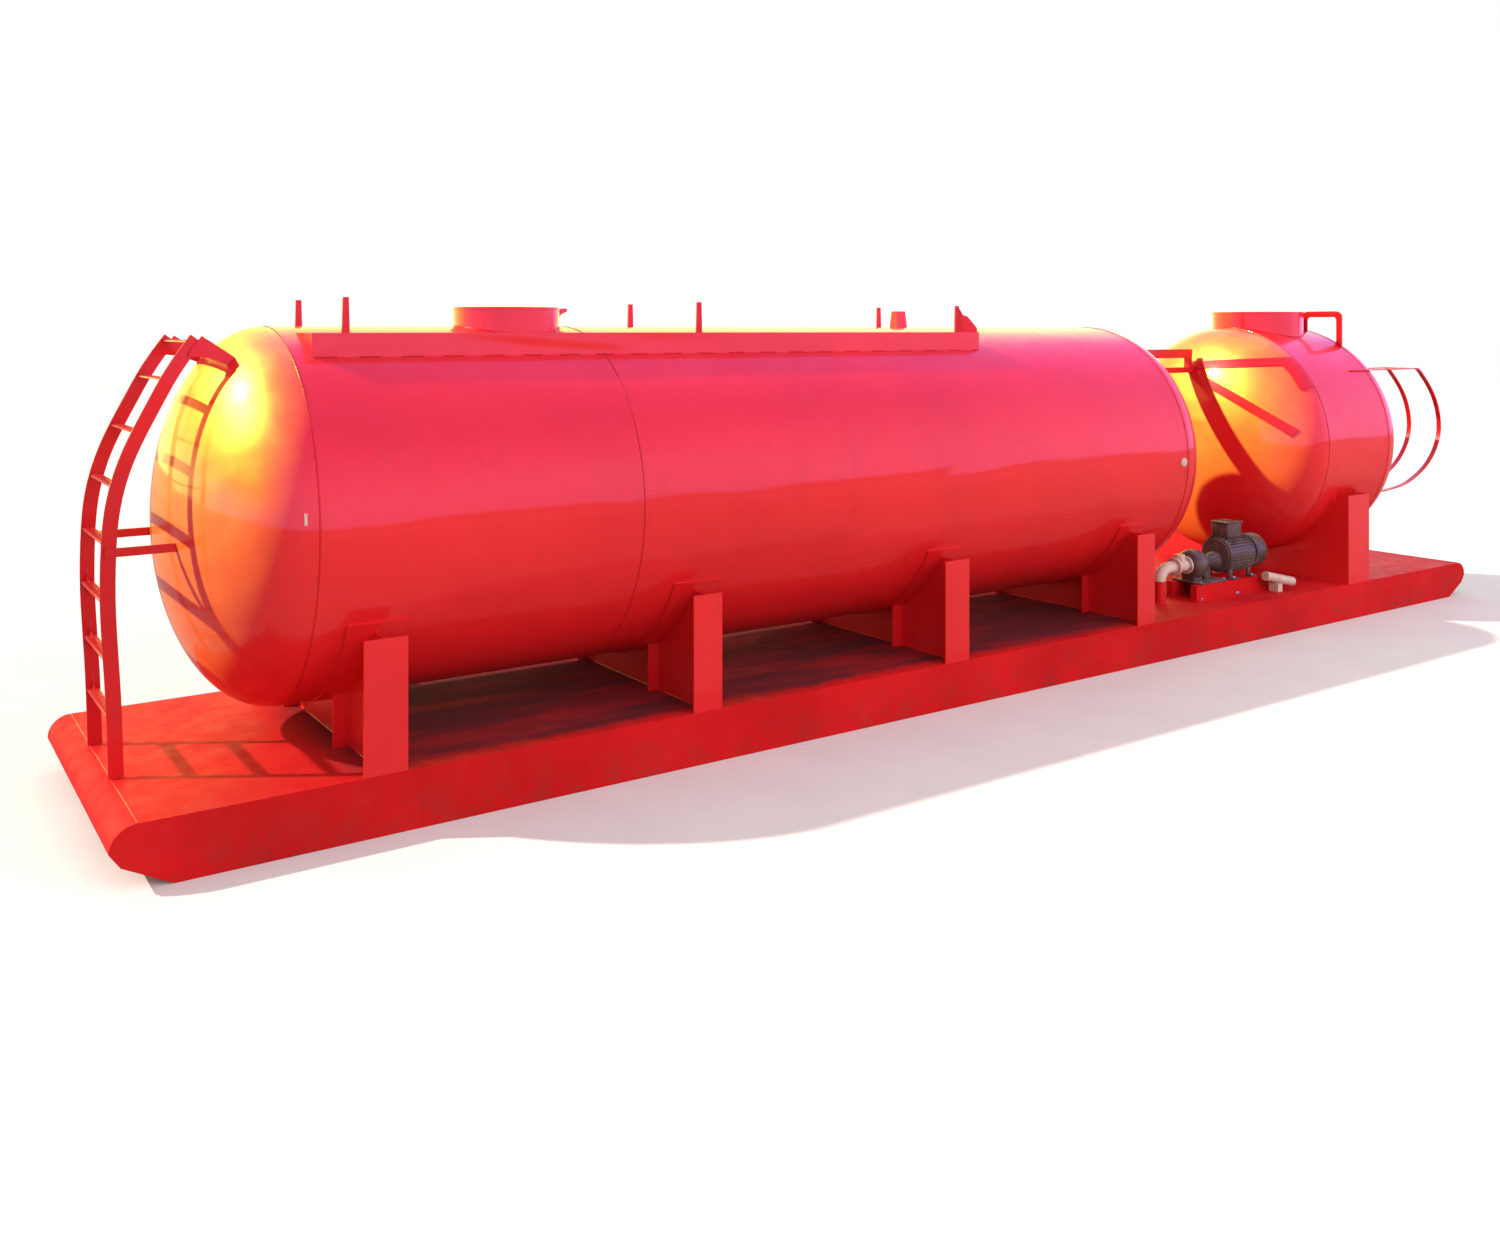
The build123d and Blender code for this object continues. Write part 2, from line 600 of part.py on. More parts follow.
with BuildPart() as pump_casing:
    with BuildSketch(Plane.XY.offset(H_DECK + 130)):
        with Locations((2490, PUMP_Y)):
            Rectangle(360, 300)
    extrude(amount=40)
    with BuildSketch(Plane.YZ.offset(2310)):
        with Locations((PUMP_Y, PUMP_Z)):
            Circle(125)
    extrude(amount=150)
    with BuildSketch(Plane.YZ.offset(2460)):
        with Locations((PUMP_Y, PUMP_Z)):
            Circle(78)
    extrude(amount=230)
    with BuildSketch(Plane.YZ.offset(2460)):
        with Locations((PUMP_Y, PUMP_Z - 60)):
            Rectangle(120, 120)
    extrude(amount=180)
pump_casing.part.label = "pump_casing"

with BuildPart() as pump_motor:
    with BuildSketch(Plane.XY.offset(H_DECK + 130)):
        with Locations((2895, PUMP_Y)):
            Rectangle(340, 320)
    extrude(amount=34)
    with BuildSketch(Plane.YZ.offset(2700)):
        with Locations((PUMP_Y, PUMP_Z + 45)):
            Circle(170)
    extrude(amount=390)
    with BuildSketch(Plane.XY.offset(PUMP_Z + 180)):
        with Locations((2860, PUMP_Y)):
            RectangleRounded(260, 220, 30)
    extrude(amount=145)
pump_motor.part.label = "pump_motor"

with BuildPart() as motor_fan_cover:
    with BuildSketch(Plane.YZ.offset(3090)):
        with Locations((PUMP_Y, PUMP_Z + 45)):
            Circle(150)
    extrude(amount=190)
    fillet(motor_fan_cover.edges().group_by(Axis.X)[-1], radius=60)
motor_fan_cover.part.label = "motor_fan_cover"

with BuildPart() as inlet_valve:
    with BuildSketch(Plane.YZ.offset(2140)):
        with Locations((PUMP_Y, PUMP_Z)):
            Circle(75)
    extrude(amount=20)
    with BuildSketch(Plane.YZ.offset(2160)):
        with Locations((PUMP_Y, PUMP_Z)):
            Circle(52)
    extrude(amount=130)
    with BuildSketch(Plane.YZ.offset(2290)):
        with Locations((PUMP_Y, PUMP_Z)):
            Circle(75)
    extrude(amount=20)
    with BuildSketch(Plane.XY.offset(PUMP_Z)):
        with Locations((2225, PUMP_Y)):
            Circle(42)
    extrude(amount=95)
inlet_valve.part.label = "inlet_valve"

with BuildPart() as suction_pipe:
    with BuildLine():
        FilletPolyline((1960, PUMP_Y, H_DECK), (1960, PUMP_Y, PUMP_Z), (2140, PUMP_Y, PUMP_Z), radius=110)
    with BuildSketch(Plane.XY.offset(H_DECK)):
        with Locations((1960, PUMP_Y)):
            Circle(48)
    sweep()
suction_pipe.part.label = "suction_pipe"

with BuildPart() as discharge_pipe:
    with BuildSketch(Plane(origin=(3080, PUMP_Y - 230, 450), x_dir=(0, 0, 1), z_dir=(0.93, -0.15, -0.22))):
        Circle(40)
    extrude(amount=330)
    with BuildSketch(Plane.XY.offset(H_DECK)):
        with Locations((3200, PUMP_Y - 250)):
            Rectangle(60, 90)
    extrude(amount=70)
discharge_pipe.part.label = "discharge_pipe"

# end plates of the coaming
with BuildPart() as coaming_ends:
    for x in (COAM_X[0], COAM_X[1] - T_COAM):
        with BuildSketch(Plane.YZ.offset(x)):
            with Locations((0, COAM_TOP - 75)):
                Rectangle(2 * (COAM_Y - T_COAM), 150)
            with Locations((0, Z_AXIS)):
                Circle(R_TANK, mode=Mode.SUBTRACT)
        extrude(amount=T_COAM)
coaming_ends.part.label = "coaming_ends"

ALL = [skid_beam_near, skid_beam_far, skid_cross_members, skid_nose_left, skid_nose_right,
       deck_plate_left, deck_plate_middle, deck_plate_right,
       saddle_1, saddle_2, saddle_3, saddle_4, saddle_5, saddle_pads,
       main_shell, main_head_left, main_head_right, second_shell, second_head_left, second_head_right,
       manhole_neck, manhole_cover, second_manhole_neck, second_manhole_cover,
       coaming_near, coaming_far, coaming_ends, rail_posts, vent_box,
       ladder_stringer_near, ladder_stringer_far, ladder_treads, ladder_ties,
       head_bridge, head_straps, top_guard, hose_rack_near, hose_rack_inner,
       pump_base, pump_casing, pump_motor, motor_fan_cover, inlet_valve, suction_pipe, discharge_pipe]
for p in ALL:
    export_step(p.part, "parts/%s.step" % p.part.label)
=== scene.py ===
import bpy
import json
import math
import random
from mathutils import Vector, Matrix


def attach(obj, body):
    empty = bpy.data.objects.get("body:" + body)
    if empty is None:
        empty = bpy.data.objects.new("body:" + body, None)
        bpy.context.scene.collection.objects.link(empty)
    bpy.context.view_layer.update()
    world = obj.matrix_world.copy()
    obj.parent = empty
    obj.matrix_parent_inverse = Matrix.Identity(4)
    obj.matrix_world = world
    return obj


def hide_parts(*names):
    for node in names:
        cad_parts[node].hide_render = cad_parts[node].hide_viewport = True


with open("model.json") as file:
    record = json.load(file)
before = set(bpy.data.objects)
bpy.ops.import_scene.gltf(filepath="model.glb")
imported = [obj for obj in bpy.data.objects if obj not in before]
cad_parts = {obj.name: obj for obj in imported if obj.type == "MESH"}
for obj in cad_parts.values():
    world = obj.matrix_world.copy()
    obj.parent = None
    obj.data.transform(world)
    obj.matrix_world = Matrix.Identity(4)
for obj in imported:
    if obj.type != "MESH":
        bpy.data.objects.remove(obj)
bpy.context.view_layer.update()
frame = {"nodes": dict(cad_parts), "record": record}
nodes = frame["nodes"]
rng = random.Random(7)

RT, ZA = 1.045, 1.540


# ------------------------------------------------------------------ materials
def new_mat(name):
    m = bpy.data.materials.new(name)
    m.use_nodes = True
    nt = m.node_tree
    nt.nodes.clear()
    out = nt.nodes.new("ShaderNodeOutputMaterial")
    bsdf = nt.nodes.new("ShaderNodeBsdfPrincipled")
    nt.links.new(bsdf.outputs[0], out.inputs[0])
    return m, nt, bsdf


class Net:
    """short hands for wiring one material"""

    def __init__(self, nt):
        self.nt = nt
        self.co = nt.nodes.new("ShaderNodeTexCoord").outputs["Object"]
        self.geo = nt.nodes.new("ShaderNodeNewGeometry")

    def put(self, sock, v):
        if isinstance(v, bpy.types.NodeSocket):
            self.nt.links.new(v, sock)
        else:
            sock.default_value = v

    def noise(self, scale, detail=4.0, rough=0.55, stretch=None, distort=0.0):
        n = self.nt.nodes.new("ShaderNodeTexNoise")
        src = self.co
        if stretch:
            mp = self.nt.nodes.new("ShaderNodeMapping")
            mp.inputs["Scale"].default_value = stretch
            self.nt.links.new(src, mp.inputs["Vector"])
            src = mp.outputs[0]
        self.nt.links.new(src, n.inputs["Vector"])
        n.inputs["Scale"].default_value = scale
        n.inputs["Detail"].default_value = detail
        n.inputs["Roughness"].default_value = rough
        n.inputs["Distortion"].default_value = distort
        return n.outputs[0]

    def math(self, op, a, b=0.0, clamp=False):
        n = self.nt.nodes.new("ShaderNodeMath")
        n.operation = op
        n.use_clamp = clamp
        self.put(n.inputs[0], a)
        self.put(n.inputs[1], b)
        return n.outputs[0]

    def ramp(self, v, lo, hi, to_lo=0.0, to_hi=1.0):
        n = self.nt.nodes.new("ShaderNodeMapRange")
        n.interpolation_type = "SMOOTHSTEP"
        self.put(n.inputs["Value"], v)
        n.inputs["From Min"].default_value = lo
        n.inputs["From Max"].default_value = hi
        n.inputs["To Min"].default_value = to_lo
        n.inputs["To Max"].default_value = to_hi
        return n.outputs[0]

    def mix(self, fac, a, b):
        n = self.nt.nodes.new("ShaderNodeMix")
        n.data_type = "RGBA"
        self.put(n.inputs[0], fac)
        self.put(n.inputs[6], a if not isinstance(a, tuple) else (*a, 1.0))
        self.put(n.inputs[7], b if not isinstance(b, tuple) else (*b, 1.0))
        return n.outputs[2]

    def split(self, v):
        n = self.nt.nodes.new("ShaderNodeSeparateXYZ")
        self.nt.links.new(v, n.inputs[0])
        return n.outputs

    def bump(self, height, dist, strength=1.0, under=None):
        n = self.nt.nodes.new("ShaderNodeBump")
        n.inputs["Distance"].default_value = dist
        n.inputs["Strength"].default_value = strength
        self.put(n.inputs["Height"], height)
        if under is not None:
            self.nt.links.new(under, n.inputs["Normal"])
        return n.outputs[0]


def enamel(name, base, deep, rough=(0.16, 0.30), wave=0.004, dust=0.25, chips=0.0,
           grime=0.0, coat=0.5, streaks=0.25, spec=0.32, tank_shadow_amount=0.0):
    m, nt, b = new_mat(name)
    k = Net(nt)
    up = k.split(k.geo.outputs["Normal"])[2]
    z = k.split(k.geo.outputs["Position"])[2]
    tone = k.ramp(k.noise(0.9, 5.0), 0.35, 0.68)
    col = k.mix(tone, base, deep)
    chalk = k.ramp(k.noise(5.5, 7.0, 0.62), 0.56, 0.78, 0.0, 0.16)
    col = k.mix(chalk, col, (0.70, 0.045, 0.06))
    # rain streaks run down the sides only
    run = k.ramp(k.noise(1.0, 5.0, 0.6, stretch=(16.0, 16.0, 0.9)), 0.56, 0.76)
    side = k.ramp(k.math("ABSOLUTE", up), 0.85, 0.25)
    run = k.math("MULTIPLY", k.math("MULTIPLY", run, side), streaks)
    col = k.mix(run, col, (0.21, 0.018, 0.016))
    # dust on what faces up
    lie = k.ramp(up, 0.55, 0.98)
    lie = k.math("MULTIPLY", lie, k.ramp(k.noise(3.2, 8.0, 0.65), 0.34, 0.72))
    lie = k.math("MULTIPLY", lie, dust)
    col = k.mix(lie, col, (0.60, 0.34, 0.25))
    fine = k.noise(46.0, 6.0, 0.6)
    if grime:
        low = k.ramp(z, 0.34, 0.02)
        low = k.math("MULTIPLY", k.math("MULTIPLY", low, k.ramp(k.noise(7.0, 8.0), 0.38, 0.7)), grime)
        col = k.mix(low, col, (0.15, 0.045, 0.03))
    if chips:
        sp = k.math("MULTIPLY", k.ramp(fine, 0.66, 0.70), k.ramp(k.noise(2.4, 3.0), 0.54, 0.66))
        sp = k.math("MULTIPLY", sp, chips)
        col = k.mix(sp, col, (0.10, 0.045, 0.035))
    painted_shade_mask = None
    if tank_shadow_amount:
        # painted shade: darkens deck and saddle parts under the tank, where the tank's shadow falls
        pos = k.split(k.geo.outputs["Position"])
        edge = k.math("ADD", k.math("ABSOLUTE", pos[1]), k.math("MULTIPLY", k.noise(6.0, 6.0), 0.16))
        painted_shade_mask = k.math("MULTIPLY", k.ramp(edge, 1.115, 0.96), k.ramp(z, 1.15, 0.75))
        painted_shade_mask = k.math("MULTIPLY", painted_shade_mask, k.ramp(pos[0], -5.00, -4.70))
        painted_shade_mask = k.math("MULTIPLY", painted_shade_mask, k.ramp(pos[0], 1.55, 1.25))
        painted_shade_mask = k.math("MULTIPLY", painted_shade_mask, k.ramp(k.noise(2.2, 6.0, 0.6, stretch=(0.5, 2.2, 1.0)), 0.30, 0.62, 0.60, 1.0))
        painted_shade_mask = k.math("MULTIPLY", painted_shade_mask, tank_shadow_amount)
        col = k.mix(painted_shade_mask, col, (0.105, 0.020, 0.024))
    nt.links.new(col, b.inputs["Base Color"])
    r = k.ramp(k.noise(8.0, 7.0, 0.6), 0.3, 0.75, rough[0], rough[1])
    r = k.math("ADD", r, k.math("MULTIPLY", lie, 0.55), clamp=True)
    # the painted shade mask also makes those parts rougher
    if painted_shade_mask is not None:
        r = k.math("ADD", r, k.math("MULTIPLY", painted_shade_mask, 0.45), clamp=True)
    nt.links.new(r, b.inputs["Roughness"])
    n1 = k.bump(k.noise(0.85, 2.0, 0.5, stretch=(0.55, 1.0, 2.4), distort=0.4), wave * 5.0)
    n2 = k.bump(k.noise(190.0, 2.0), 0.0004, 0.6, under=n1)
    nt.links.new(n2, b.inputs["Normal"])
    nt.links.new(n1, b.inputs["Coat Normal"])
    b.inputs["Coat Weight"].default_value = coat
    b.inputs["Coat Roughness"].default_value = 0.09
    b.inputs["Specular IOR Level"].default_value = spec
    return m


tank = enamel("tank_enamel", (0.76, 0.013, 0.015), (0.68, 0.010, 0.013), (0.38, 0.48), wave=0.0035,
              dust=0.05, streaks=0.14, grime=0.0, coat=0.55, spec=0.22)
# the skid's last setting paints the tank's shadow dark on the deck and saddles under it
skid = enamel("skid_enamel", (0.66, 0.010, 0.012), (0.52, 0.007, 0.009), (0.54, 0.72), wave=0.002,
              dust=0.04, chips=0.35, grime=0.30, coat=0.0, streaks=0.2, spec=0.12, tank_shadow_amount=0.97)
fit = enamel("fittings_enamel", (0.66, 0.010, 0.012), (0.54, 0.008, 0.010), (0.30, 0.48), wave=0.0006,
             dust=0.18, chips=0.5, coat=0.20, streaks=0.15, spec=0.24)
weld = enamel("weld_enamel", (0.64, 0.010, 0.014), (0.46, 0.008, 0.010), (0.34, 0.52), wave=0.0006,
              dust=0.2, coat=0.12, spec=0.22)


def machine(name, base, other, rough, fleck, metallic=0.0, painted_below=None):
    m, nt, b = new_mat(name)
    k = Net(nt)
    up = k.split(k.geo.outputs["Normal"])[2]
    col = k.mix(k.ramp(k.noise(7.0, 7.0, 0.6), 0.34, 0.7), base, other)
    lie = k.math("MULTIPLY", k.ramp(up, 0.4, 0.95), k.ramp(k.noise(15.0, 8.0, 0.65), 0.35, 0.7, 0.0, 0.5))
    col = k.mix(lie, col, (0.42, 0.32, 0.27))
    spot = k.ramp(k.noise(60.0, 5.0), 0.63, 0.68, 0.0, fleck)
    col = k.mix(spot, col, (0.09, 0.05, 0.04))
    if painted_below:
        z = k.split(k.geo.outputs["Position"])[2]
        z = k.math("ADD", z, k.math("MULTIPLY", k.noise(30.0, 3.0), 0.012))
        col = k.mix(k.ramp(z, painted_below + 0.004, painted_below - 0.004), col, (0.60, 0.010, 0.012))
    nt.links.new(col, b.inputs["Base Color"])
    nt.links.new(k.ramp(k.noise(22.0, 6.0), 0.3, 0.75, rough[0], rough[1]), b.inputs["Roughness"])
    nt.links.new(k.bump(k.noise(150.0, 4.0), 0.0008, 0.7), b.inputs["Normal"])
    b.inputs["Metallic"].default_value = metallic
    b.inputs["Specular IOR Level"].default_value = 0.3
    return m


motor_m = machine("machine_enamel", (0.130, 0.075, 0.062), (0.055, 0.034, 0.032), (0.26, 0.46), 0.5)
cream_m = machine("cream_primer", (0.66, 0.50, 0.42), (0.52, 0.34, 0.29), (0.35, 0.6), 0.35)
pipe_m = machine("half_painted_pipe", (0.66, 0.50, 0.42), (0.52, 0.34, 0.29), (0.35, 0.6), 0.35, painted_below=0.500)
steel_m = machine("zinc_steel", (0.42, 0.40, 0.39), (0.28, 0.26, 0.25), (0.28, 0.5), 0.4, metallic=1.0)

look = {"tank_paint": tank, "skid_paint": skid, "fittings_paint": fit, "machine_paint": motor_m,
        "pipe_paint": cream_m}
slot_of = {s["node"]: s["material_slot"] for s in frame["record"]["subparts"]}
for n, o in nodes.items():
    o.data.materials.clear()
    o.data.materials.append(pipe_m if n == "suction_pipe" else look[slot_of[n]])


# ------------------------------------------------------------------ mesh code
class Shape:
    """gathers several closed forms into one mesh"""

    def __init__(self):
        self.v, self.f = [], []

    def rings(self, rings, closed=False, caps=True):
        n, base = len(rings[0]), len(self.v)
        for r in rings:
            self.v += [tuple(p) for p in r]
        last = len(rings) if closed else len(rings) - 1
        for i in range(last):
            a, b = base + i * n, base + ((i + 1) % len(rings)) * n
            for j in range(n):
                q = (j + 1) % n
                self.f.append((a + j, a + q, b + q, b + j))
        if caps and not closed:
            self.f.append(tuple(base + j for j in reversed(range(n))))
            e = base + (len(rings) - 1) * n
            self.f.append(tuple(e + j for j in range(n)))

    def lathe(self, prof, at, axis, segs=40, wob=None):
        """prof is (distance along the axis, radius)"""
        at, axis = Vector(at), Vector(axis).normalized()
        u = axis.orthogonal().normalized()
        w = axis.cross(u)
        rings = []
        for h, r in prof:
            ring = []
            for j in range(segs):
                a = 2 * math.pi * j / segs
                rr = r * (wob(a, h) if wob else 1.0)
                ring.append(at + axis * h + (u * math.cos(a) + w * math.sin(a)) * rr)
            rings.append(ring)
        self.rings(rings)

    def hexbolt(self, at, axis, af=0.019, high=0.010, washer=True):
        at, axis = Vector(at), Vector(axis).normalized()
        if washer:
            self.lathe([(0, af * 0.95), (0.0025, af * 0.95), (0.003, af * 0.90)], at, axis, 18)
        u = axis.orthogonal().normalized()
        w = axis.cross(u)
        r = af / math.sqrt(3)
        turn = rng.random()
        rings = []
        for h, s in ((0.0, 1.0), (high * 0.8, 1.0), (high, 0.86)):
            rings.append([at + axis * (h + 0.003) + (u * math.cos(turn + math.pi / 3 * j)
                          + w * math.sin(turn + math.pi / 3 * j)) * r * s for j in range(6)])
        self.rings(rings)

    def slab(self, c, size, bev=0.004):
        """box with its long edges rounded off, in three rings each way"""
        cx, cy, cz = c
        sx, sy, sz = (s / 2 for s in size)
        bev = min(bev, sx * 0.45, sy * 0.45, sz * 0.45)

        def loop(x, ex):
            pts = []
            for (a, b), st in zip(((1, 1), (-1, 1), (-1, -1), (1, -1)), (0, 90, 180, 270)):
                for q in range(4):
                    t = math.radians(st + 30 * q)
                    yy = a * (sy - bev) + math.cos(t) * (bev - ex)
                    zz = b * (sz - bev) + math.sin(t) * (bev - ex)
                    pts.append((cx + x, cy + yy, cz + zz))
            return pts
        self.rings([loop(-sx, bev * 0.9), loop(-sx + bev * 0.4, bev * 0.3), loop(-sx + bev, 0),
                    loop(sx - bev, 0), loop(sx - bev * 0.4, bev * 0.3), loop(sx, bev * 0.9)])

    def bead(self, path, r, closed=False, segs=8):
        """weld bead along a path, uneven as a hand-laid one"""
        pts = [Vector(p) for p in path]
        n = len(pts)
        rings = []
        prev = None
        for i, p in enumerate(pts):
            a = pts[(i - 1) % n] if closed or i else pts[0]
            b = pts[(i + 1) % n] if closed or i < n - 1 else pts[-1]
            t = (b - a).normalized()
            if prev is None:
                u = t.orthogonal().normalized()
            else:
                u = (prev - t * prev.dot(t)).normalized()
            prev = u
            w = t.cross(u)
            rr = r * (1.0 + 0.16 * (rng.random() - 0.5) + (0.07 if i % 2 else -0.07))
            rings.append([p + (u * math.cos(2 * math.pi * j / segs) + w * math.sin(2 * math.pi * j / segs)) * rr
                          for j in range(segs)])
        self.rings(rings, closed=closed)

    def done(self, name, mat, smooth=True, replaces=()):
        me = bpy.data.meshes.new(name)
        me.from_pydata([tuple(v) for v in self.v], [], self.f)
        me.validate()
        me.update()
        me.materials.append(mat)
        if smooth:
            me.polygons.foreach_set("use_smooth", [True] * len(me.polygons))
            me.set_sharp_from_angle(angle=math.radians(38))
        ob = bpy.data.objects.new(name, me)
        bpy.context.scene.collection.objects.link(ob)
        if replaces:
            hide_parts(*replaces)
        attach(ob, "root")
        return ob


def line(a, b, step=0.012):
    a, b = Vector(a), Vector(b)
    n = max(2, int((b - a).length / step))
    return [a.lerp(b, i / n) for i in range(n + 1)]


def girth(x, a0=0.0, a1=360.0, r=RT, step=0.014):
    n = max(8, int(math.radians(abs(a1 - a0)) * r / step))
    full = abs(a1 - a0) >= 360
    return [(x, r * math.cos(math.radians(a0 + (a1 - a0) * i / n)), ZA + r * math.sin(math.radians(a0 + (a1 - a0) * i / n)))
            for i in range(n if full else n + 1)]


# ------------------------------------------------------------------ weld beads
s = Shape()
for x in (-5.05, 1.74, 3.70, 4.66):
    s.bead(girth(x, r=RT - 0.0015), 0.0055, closed=True)
s.bead(girth(-3.203, r=RT - 0.0015), 0.0050, closed=True)
s.done("girth_welds", weld)

s = Shape()
for x, r in ((-3.590, 0.325), (4.190, 0.410)):
    n = int(2 * math.pi * r / 0.012)
    s.bead([(x + (r + 0.002) * math.cos(2 * math.pi * i / n), (r + 0.002) * math.sin(2 * math.pi * i / n),
             ZA + math.sqrt(RT ** 2 - ((r + 0.002) * math.sin(2 * math.pi * i / n)) ** 2) + 0.001) for i in range(n)],
           0.007, closed=True)
s.done("neck_welds", weld)

zc = ZA + math.sqrt(RT ** 2 - 0.565 ** 2)
s = Shape()
for y in (-0.566, 0.566):
    x = -4.94
    while x < -0.12:
        s.bead(line((x, y, zc), (min(x + 0.12, -0.08), y, zc)), 0.0055)
        x += 0.24
s.done("coaming_stitch_welds", weld)

# saddles: pad edges to the shell, flanges and webs to the deck
s = Shape()
saddles = [(-4.720, 0.230, 0.16, 1.000), (-2.775, 0.200, 0.16, 1.000), (-0.755, 0.220, 0.16, 1.000),
           (1.225, 0.200, 0.16, 1.000), (4.155, 0.330, 0.215, 1.095)]
for x, w, half, top in saddles:
    for e in (-half, half):
        s.bead(girth(x + e, 207.5, 332.5, r=RT + 0.003), 0.0055)
    for sy in (-1, 1):
        s.bead(line((x - w / 2, sy * 1.036, 0.3135), (x + w / 2, sy * 1.036, 0.3135)), 0.0055)
        for e in (-1, 1):
            s.bead(line((x + e * (w / 2), sy * 1.036, 0.314), (x + e * (w / 2), sy * 1.038, 0.316)), 0.004)
    for wx in ([x] if w < 0.3 else [3.996, 4.314]):
        for e in (-0.0075, 0.0075):
            s.bead(line((wx + e, -1.036, 0.3125), (wx + e, 1.036, 0.3125)), 0.0045)
s.done("saddle_welds", weld)

# deck butt welds and the noses' joints
s = Shape()
for x in (-5.88, -4.60, 1.35, 5.88):
    s.bead(line((x, -1.046, 0.3098), (x, 1.046, 0.3098)), 0.0040)
s.done("deck_welds", weld)

# tread ends to the stringers
s = Shape()
treads = [(-5.866, 0.615), (-5.878, 0.905), (-5.893, 1.200), (-5.888, 1.490), (-5.849, 1.775), (-5.747, 2.045),
          (-5.612, 2.310), (-5.485, 2.505)]
for x, z in treads:
    for y in (-0.3235, 0.3235):
        for e in (-0.0045, 0.0045):
            s.bead(line((x - 0.028, y, z + e), (x + 0.028, y, z + e), 0.007), 0.0038)
s.done("tread_welds", weld)

# corner gussets under and over the lower treads, which round the openings off
s = Shape()
for x, z in treads[:3]:
    for y in (-0.325, 0.325):
        for up in (-1, 1):
            ring = []
            for q in range(7):
                a = math.radians(90 * q / 6)
                ring.append((0.075 * (1 - math.sin(a)), 0.075 * (1 - math.cos(a))))
            ring = [(0.0, 0.0)] + ring
            sg = -1 if y > 0 else 1
            s.rings([[(x + e, y + sg * a, z + up * (0.004 + b)) for a, b in ring] for e in (-0.004, 0.004)])
s.done("tread_gussets", fit, smooth=False)

# raised grip bars on the treads
s = Shape()
for x, z in treads:
    y = -0.30
    while y < 0.301:
        s.slab((x, y, z + 0.0055), (0.046, 0.007, 0.004), 0.0015)
        y += 0.030
s.done("tread_grips", fit, smooth=True)

# round plug by the right seam and a small bare plate by the left one
s = Shape()
s.lathe([(-0.006, 0.030), (0.0, 0.036), (0.0035, 0.034), (0.0045, 0.024), (0.0045, 0.010)],
        (1.690, -1.0450, 1.525), (0, -1, 0), 32)
s.slab((-5.118, -1.0335, 1.633), (0.015, 0.012, 0.060), 0.003)
s.done("plug_and_plate", cream_m)

# ------------------------------------------------------------------ pump set
PY, PZ = -0.600, 0.590
MZ = PZ + 0.045

s = Shape()
s.lathe([(0.0, 0.100), (0.004, 0.134), (0.018, 0.136), (0.020, 0.148), (0.362, 0.148), (0.364, 0.136), (0.386, 0.134), (0.390, 0.10)],
        (2.70, PY, MZ), (1, 0, 0), 64)
for i in range(36):
    a = 2 * math.pi * i / 36
    if -0.80 > math.sin(a):
        continue
    u = Vector((0, math.cos(a), math.sin(a)))
    t = Vector((0, -math.sin(a), math.cos(a)))
    c = Vector((0, PY, MZ))
    ring = []
    for x, rr in ((2.735, 0.152), (2.745, 0.168), (3.045, 0.168), (3.055, 0.152)):
        ring.append([Vector((x, 0, 0)) + c + u * 0.144 + t * 0.0028, Vector((x, 0, 0)) + c + u * rr + t * 0.0016,
                     Vector((x, 0, 0)) + c + u * rr - t * 0.0016, Vector((x, 0, 0)) + c + u * 0.144 - t * 0.0028])
    s.rings(ring)
s.slab((2.86, PY, 0.843), (0.20, 0.17, 0.125), 0.012)
s.slab((2.86, PY, 0.908), (0.214, 0.184, 0.014), 0.005)
for x in (2.77, 3.02):
    for y in (-0.125, 0.125):
        s.slab((x, PY + y, 0.447), (0.075, 0.068, 0.014), 0.004)
        s.slab((x, PY + y * 0.82, 0.482), (0.040, 0.020, 0.070), 0.004)
s.done("motor_body", motor_m, replaces=("pump_motor",))

s = Shape()
s.lathe([(0.0, 0.146), (0.004, 0.149), (0.130, 0.149), (0.158, 0.140), (0.178, 0.118), (0.186, 0.090), (0.188, 0.060), (0.1885, 0.02)],
        (3.09, PY, MZ), (1, 0, 0), 56)
for r in (0.030, 0.048, 0.066, 0.084):
    n = 60
    s.bead([(3.2785 - (0.0035 if r > 0.07 else 0.0), PY + r * math.cos(2 * math.pi * i / n), MZ + r * math.sin(2 * math.pi * i / n)) for i in range(n)],
           0.0020, closed=True, segs=6)
s.done("fan_cowl", motor_m, replaces=("motor_fan_cover",))

s = Shape()
s.lathe([(0.0, 0.070), (0.006, 0.098), (0.028, 0.118), (0.060, 0.125), (0.095, 0.125), (0.128, 0.117), (0.145, 0.104), (0.150, 0.080)],
        (2.31, PY, PZ), (1, 0, 0), 56, wob=lambda a, h: 1.0 + 0.0 * a)
s.lathe([(0.0, 0.100), (0.016, 0.100), (0.018, 0.078), (0.070, 0.060), (0.150, 0.056), (0.190, 0.066), (0.205, 0.078), (0.230, 0.078)],
        (2.46, PY, PZ), (1, 0, 0), 48)
s.slab((2.385, PY, 0.475), (0.11, 0.13, 0.075), 0.010)
s.slab((2.54, PY, 0.500), (0.09, 0.09, 0.100), 0.010)
s.slab((2.49, PY, 0.447), (0.352, 0.295, 0.014), 0.004)
s.done("pump_body", motor_m, replaces=("pump_casing",))

